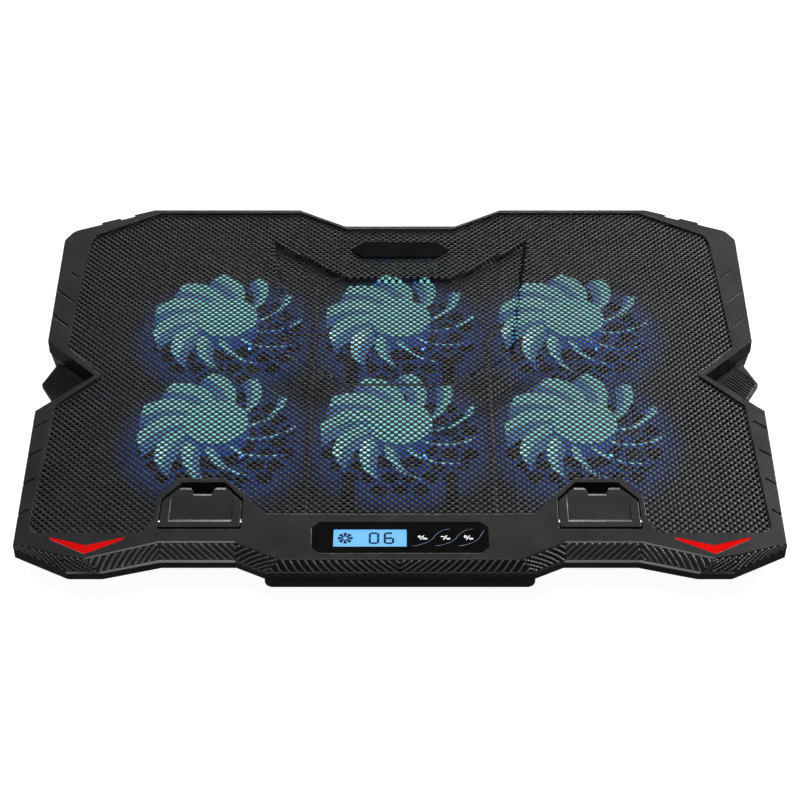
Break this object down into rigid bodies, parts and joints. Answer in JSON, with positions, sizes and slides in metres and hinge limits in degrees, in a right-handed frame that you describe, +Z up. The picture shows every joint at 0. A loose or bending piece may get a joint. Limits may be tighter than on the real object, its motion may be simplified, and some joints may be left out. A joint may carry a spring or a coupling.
{
  "type": "laptop cooling pad",
  "caption": "Flat laptop stand with a perforated deck over lit fans, fold-up front stoppers, a small display with keys, and fold-out rear legs.",
  "frame": {"origin": "on the table under the middle of the pad", "axes": "+X to the user's right, +Y to the back, +Z up"},
  "size_m": [0.4058, 0.308, 0.028],
  "materials": {
    "case_black": "fine matte",
    "mesh_black": "black powder coat, perforated",
    "badge_black": "gloss",
    "trim_black": "ribbed weave",
    "inlay_red": "satin",
    "lens_black": "gloss",
    "display_blue": "backlit",
    "board_green": "solder mask",
    "switch_black": "moulded",
    "socket_steel": "plated",
    "pin_steel": "plain",
    "rubber": "matt",
    "light_cyan": "lit",
    "rotor_cyan": "translucent, lit",
    "magnet_grey": "plain",
    "motor_black": "moulded",
    "wire_black": "matt"
  },
  "bodies": {
    "case": {"top_frame": "case_black", "mesh_panel": "mesh_black", "badge_plate": "badge_black", "front_trim": "trim_black", "chevron_left": "inlay_red", "chevron_right": "inlay_red", "bottom_case": "case_black", "display_lens": "lens_black", "lcd_module": "display_blue", "control_board": "board_green", "tact_switches": "switch_black", "supply_board": "board_green", "power_socket_left": "socket_steel", "power_socket_right": "socket_steel", "stopper_pins": "pin_steel", "leg_pins": "pin_steel", "foot_front_left": "rubber", "foot_front_right": "rubber", "foot_rear_left": "rubber", "foot_rear_right": "rubber", "fan_lights": "light_cyan", "motor_screws": "pin_steel", "case_screws": "pin_steel", "board_screws": "pin_steel", "wiring": "wire_black", "fan_motor_1": "motor_black", "fan_motor_2": "motor_black", "fan_motor_3": "motor_black", "fan_motor_4": "motor_black", "fan_motor_5": "motor_black", "fan_motor_6": "motor_black"},
    "fan_1": {"fan_rotor_1": "rotor_cyan", "fan_magnet_1": "magnet_grey", "fan_shaft_1": "pin_steel"},
    "fan_2": {"fan_rotor_2": "rotor_cyan", "fan_magnet_2": "magnet_grey", "fan_shaft_2": "pin_steel"},
    "fan_3": {"fan_rotor_3": "rotor_cyan", "fan_magnet_3": "magnet_grey", "fan_shaft_3": "pin_steel"},
    "fan_4": {"fan_rotor_4": "rotor_cyan", "fan_magnet_4": "magnet_grey", "fan_shaft_4": "pin_steel"},
    "fan_5": {"fan_rotor_5": "rotor_cyan", "fan_magnet_5": "magnet_grey", "fan_shaft_5": "pin_steel"},
    "fan_6": {"fan_rotor_6": "rotor_cyan", "fan_magnet_6": "magnet_grey", "fan_shaft_6": "pin_steel"},
    "stopper_left": {"stopper_left": "case_black"},
    "leg_left": {"leg_left": "case_black", "leg_pads_left": "rubber"},
    "stopper_right": {"stopper_right": "case_black"},
    "leg_right": {"leg_right": "case_black", "leg_pads_right": "rubber"},
    "key_plus": {"key_plus": "lens_black"},
    "key_minus": {"key_minus": "lens_black"},
    "key_light": {"key_light": "lens_black"}
  },
  "joints": [
    {"name": "fan_1_spin", "type": "hinge", "parent": "case", "child": "fan_1", "pos_m": [-0.101, -0.035, 0.012], "axis": [0, 0, 1], "continuous": true},
    {"name": "fan_2_spin", "type": "hinge", "parent": "case", "child": "fan_2", "pos_m": [0, -0.035, 0.012], "axis": [0, 0, 1], "continuous": true},
    {"name": "fan_3_spin", "type": "hinge", "parent": "case", "child": "fan_3", "pos_m": [0.101, -0.035, 0.012], "axis": [0, 0, 1], "continuous": true},
    {"name": "fan_4_spin", "type": "hinge", "parent": "case", "child": "fan_4", "pos_m": [-0.101, 0.0575, 0.012], "axis": [0, 0, 1], "continuous": true},
    {"name": "fan_5_spin", "type": "hinge", "parent": "case", "child": "fan_5", "pos_m": [0, 0.0575, 0.012], "axis": [0, 0, 1], "continuous": true},
    {"name": "fan_6_spin", "type": "hinge", "parent": "case", "child": "fan_6", "pos_m": [0.101, 0.0575, 0.012], "axis": [0, 0, 1], "continuous": true},
    {"name": "stopper_left_flip", "type": "hinge", "parent": "case", "child": "stopper_left", "pos_m": [-0.1025, -0.1195, 0.0255], "axis": [1, 0, 0], "range_deg": [0, 95]},
    {"name": "stopper_right_flip", "type": "hinge", "parent": "case", "child": "stopper_right", "pos_m": [0.1025, -0.1195, 0.0255], "axis": [1, 0, 0], "range_deg": [0, 95]},
    {"name": "leg_left_fold", "type": "hinge", "parent": "case", "child": "leg_left", "pos_m": [-0.11, 0.1415, 0.0056], "axis": [1, 0, 0], "range_deg": [0, 75]},
    {"name": "leg_right_fold", "type": "hinge", "parent": "case", "child": "leg_right", "pos_m": [0.11, 0.1415, 0.0056], "axis": [1, 0, 0], "range_deg": [0, 75]},
    {"name": "key_plus_press", "type": "slide", "parent": "case", "child": "key_plus", "axis": [0, 0, -1], "range_m": [0, 0.00035], "stiffness_N_per_m": 500},
    {"name": "key_minus_press", "type": "slide", "parent": "case", "child": "key_minus", "axis": [0, 0, -1], "range_m": [0, 0.00035], "stiffness_N_per_m": 500},
    {"name": "key_light_press", "type": "slide", "parent": "case", "child": "key_light", "axis": [0, 0, -1], "range_m": [0, 0.00035], "stiffness_N_per_m": 500}
  ]
}
